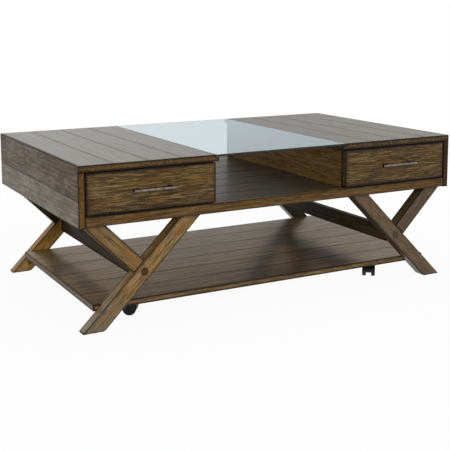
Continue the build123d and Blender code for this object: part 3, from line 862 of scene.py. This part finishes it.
# Pull screws: two machine screws through the drawer front and the box front hold each pull, their heads
# inside the box. Zinc-plated steel, cold headed with a cross recess.
POST_SPACING = 96.0
for side in ("left", "right"):
    low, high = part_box(f"{side}_drawer_pull")
    middle = (low + high) / 2
    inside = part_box(f"{side}_drawer_box_front")[1].y
    spots = [
        (Vector((middle.x + way * POST_SPACING / 2 * MM, inside, middle.z)), ALONG_Y) for way in (-1, 1)
    ]
    turned(f"{side}_pull_screws", spots, SCREW_HEAD, ZINC, f"{side}_drawer")


# Glass: a loose sheet of 6 mm float glass with ground and polished edges, dropped into the rabbets of
# the two tops on clear pads. Float glass is clear and perfectly smooth, so it mirrors the room at a low
# angle, with a faint tint through its thickness and a dark edge.
def float_glass():
    """The finish of the loose sheet, which lets the lamps through to the bay."""
    material, tree = new_material("float_glass")
    own = add(tree, "ShaderNodeNewGeometry", {}, out="Normal")
    flat = add(tree, "ShaderNodeSeparateXYZ", {0: own}, out="Z")
    flat = add(tree, "ShaderNodeMath", {0: flat}, operation="ABSOLUTE")
    rim = add(tree, "ShaderNodeMapRange", {0: flat, 1: 0.97, 2: 0.8})
    tint = {0: rim, 6: linear("#d4dcd9"), 7: linear("#060c0d")}
    tint = add(tree, "ShaderNodeMix", tint, out=2, data_type="RGBA")
    clear = add(
        tree,
        "ShaderNodeBsdfPrincipled",
        {
            "Base Color": tint,
            "Roughness": 0.0,
            "IOR": 1.52,
            "Transmission Weight": 1.0,
        },
    )
    open_way = add(tree, "ShaderNodeBsdfTransparent", {"Color": linear("#eaebea")})
    shadow = add(tree, "ShaderNodeLightPath", {}, out="Is Shadow Ray")
    surface = add(tree, "ShaderNodeMixShader", {0: shadow, 1: clear, 2: open_way})
    add(tree, "ShaderNodeOutputMaterial", {"Surface": surface})
    return material


dress("glass", float_glass())


# Pads: small clear discs of moulded soft vinyl, stuck in the rabbets, so that the glass lies quiet on the
# wood. Clear vinyl: slightly cloudy, with a dull skin.
CLOUD = 2.0


def clear_vinyl():
    """The finish of the pads."""
    material, tree = new_material("clear_vinyl")
    place = add(tree, "ShaderNodeTexCoord", {}, out="Object")
    cloud = {"Vector": place, "Scale": 1 / (CLOUD * MM), "Detail": 2.0}
    cloud = add(tree, "ShaderNodeTexNoise", cloud)
    rough = add(tree, "ShaderNodeMapRange", {0: cloud, 3: 0.15, 4: 0.4})
    vinyl = add(
        tree,
        "ShaderNodeBsdfPrincipled",
        {"Base Color": linear("#e9ecea"), "Roughness": rough, "IOR": 1.53, "Transmission Weight": 0.7},
    )
    add(tree, "ShaderNodeOutputMaterial", {"Surface": vinyl})
    return material


dress("glass_pads", clear_vinyl())


# Studio: a white floor and a white room that fade into each other, with a soft lamp overhead and four
# more round the table, at a level at which a colour renders about as it is written. What the lacquer and
# the glass mirror of the room is a cool wall, dimmer to the right, and a warm band above it.
FLOOR_REACH = 30.0
SHADOW_REACH = 0.8
WHITE_REACH = 2.2


def studio_floor():
    """Matt white paper, seen as plain white but still taking the table's shadow."""
    material, tree = new_material("white_paper_floor")
    ray = add(tree, "ShaderNodeLightPath", {}).node.outputs
    seen = {0: ray["Is Camera Ray"], 1: ray["Is Glossy Ray"]}
    seen = add(tree, "ShaderNodeMath", seen, operation="MAXIMUM")
    seen = add(tree, "ShaderNodeMath", {0: seen, 1: ray["Is Transmission Ray"]}, operation="MAXIMUM")
    place = add(tree, "ShaderNodeTexCoord", {}, out="Object")
    away = add(tree, "ShaderNodeVectorMath", {0: place}, out="Value", operation="LENGTH")
    fade = {0: away, 1: SHADOW_REACH, 2: WHITE_REACH, 3: 0.95, 4: 1.0}
    fade = add(tree, "ShaderNodeMapRange", fade, interpolation_type="SMOOTHSTEP")
    share = add(tree, "ShaderNodeMath", {0: seen, 1: fade}, operation="MULTIPLY")
    tint = {0: seen, 6: linear("#8c8c8c"), 7: linear("#f4f4f4")}
    tint = add(tree, "ShaderNodeMix", tint, out=2, data_type="RGBA")
    paper = add(tree, "ShaderNodeBsdfDiffuse", {"Color": tint})
    white = add(tree, "ShaderNodeEmission", {"Color": linear("#ffffff"), "Strength": 1.0})
    surface = add(tree, "ShaderNodeMixShader", {0: share, 1: paper, 2: white})
    add(tree, "ShaderNodeOutputMaterial", {"Surface": surface})
    return material


floor_mesh = bpy.data.meshes.new("studio_floor")
outline = [(x * FLOOR_REACH, y * FLOOR_REACH, 0) for x, y in ((-1, -1), (1, -1), (1, 1), (-1, 1))]
floor_mesh.from_pydata(outline, [], [(0, 1, 2, 3)])
floor_mesh.materials.append(studio_floor())
floor = bpy.data.objects.new("studio_floor", floor_mesh)
bpy.context.scene.collection.objects.link(floor)

ROOM_LIGHT = 0.35
BAND_FOOT = (0.2, 0.25)
BAND_HEAD = (0.36, 0.41)
world = bpy.data.worlds.new("white_room")
world.use_nodes = True
air = world.node_tree
air.nodes.clear()
ray = add(air, "ShaderNodeLightPath", {}).node.outputs
way = add(air, "ShaderNodeTexCoord", {}, out="Generated")
rightward = add(air, "ShaderNodeSeparateXYZ", {0: way}, out="X")
upward = add(air, "ShaderNodeSeparateXYZ", {0: way}, out="Z")
dusk = add(air, "ShaderNodeMapRange", {0: rightward, 1: 0.3, 2: 0.6, 3: 0.84, 4: 0.67})
overhead = add(air, "ShaderNodeMapRange", {0: upward, 1: BAND_FOOT[0], 2: BAND_FOOT[1]})
left_panel = add(air, "ShaderNodeMapRange", {0: rightward, 1: 0.28, 2: 0.4, 3: 1.35, 4: 0.84})
right_panel = add(air, "ShaderNodeMapRange", {0: rightward, 1: 0.54, 2: 0.6, 4: 0.6})
panels = add(air, "ShaderNodeMath", {0: left_panel, 1: right_panel}, operation="ADD")
dusk = add(air, "ShaderNodeMix", {0: overhead, 2: dusk, 3: panels})
mirrored = add(air, "ShaderNodeMath", {0: ray["Is Glossy Ray"], 1: dusk}, operation="MULTIPLY")
seen = add(air, "ShaderNodeMath", {0: ray["Is Camera Ray"], 1: mirrored}, operation="MAXIMUM")
seen = add(air, "ShaderNodeMath", {0: seen, 1: ray["Is Transmission Ray"]}, operation="MAXIMUM")
level = add(air, "ShaderNodeMapRange", {0: seen, 3: ROOM_LIGHT, 4: 1.0}, clamp=False)
below_head = add(air, "ShaderNodeMapRange", {0: upward, 1: BAND_HEAD[1], 2: BAND_HEAD[0]})
warm = add(air, "ShaderNodeMath", {0: overhead, 1: below_head}, operation="MULTIPLY")
tint = {0: warm, 6: linear("#eaf4fb"), 7: linear("#ffdeb4")}
tint = add(air, "ShaderNodeMix", tint, out=2, data_type="RGBA")
tint = {0: ray["Is Glossy Ray"], 6: linear("#ffffff"), 7: tint}
tint = add(air, "ShaderNodeMix", tint, out=2, data_type="RGBA")
room = add(air, "ShaderNodeBackground", {"Color": tint, "Strength": level})
add(air, "ShaderNodeOutputWorld", {"Surface": room})
bpy.context.scene.world = world

AIM_POINT = Vector((0, 0, 0.3))
for name, place, span, watts in (
    ("overhead_softbox", (0.0, 0.3, 3.2), 2.6, 12.0),
    ("front_left_softbox", (-1.6, -3.3, 1.5), 2.0, 66.0),
    ("front_right_softbox", (2.4, -3.2, 1.5), 2.0, 15.0),
    ("right_softbox", (3.7, 0.4, 1.1), 2.0, 30.0),
    ("back_softbox", (-0.4, 3.8, 1.4), 2.0, 22.0),
):
    lamp = bpy.data.lights.new(name, "AREA")
    lamp.energy = watts
    lamp.size = span
    softbox = bpy.data.objects.new(name, lamp)
    softbox.location = place
    softbox.rotation_euler = (AIM_POINT - Vector(place)).to_track_quat("-Z", "Y").to_euler()
    softbox.visible_glossy = False
    bpy.context.scene.collection.objects.link(softbox)


# Camera: about 3 m from the table, to the left of its front and 0.87 m up, as in the photograph. Its place
# is measured from the middle of the case, which the pulls set back in the frame by half of what they add.
PHOTO_WIDTH = 450
FOCAL_PIXELS = 921.9
PRINCIPAL_ROW = 140
SENSOR = 36.0
PULL_SHIFT = 12.5
YAW = math.radians(28.46)
PITCH = math.radians(-7.897)
ROLL = math.radians(-0.134)
view = bpy.data.cameras.new("photo_camera")
view.sensor_width = SENSOR
view.lens = FOCAL_PIXELS / PHOTO_WIDTH * SENSOR
view.shift_y = (PRINCIPAL_ROW - PHOTO_WIDTH / 2) / PHOTO_WIDTH
camera = bpy.data.objects.new("photo_camera", view)
camera.location = Vector((-1428.4, -2654.9 + PULL_SHIFT, 870.5)) * MM
heading = Matrix.Rotation(-YAW, 4, "Z")
level_off = Matrix.Rotation(math.pi / 2 + PITCH, 4, "X")
camera.rotation_euler = (heading @ level_off @ Matrix.Rotation(ROLL, 4, "Z")).to_euler()
bpy.context.scene.collection.objects.link(camera)
bpy.context.scene.camera = camera

bpy.context.scene.view_settings.view_transform = "Standard"
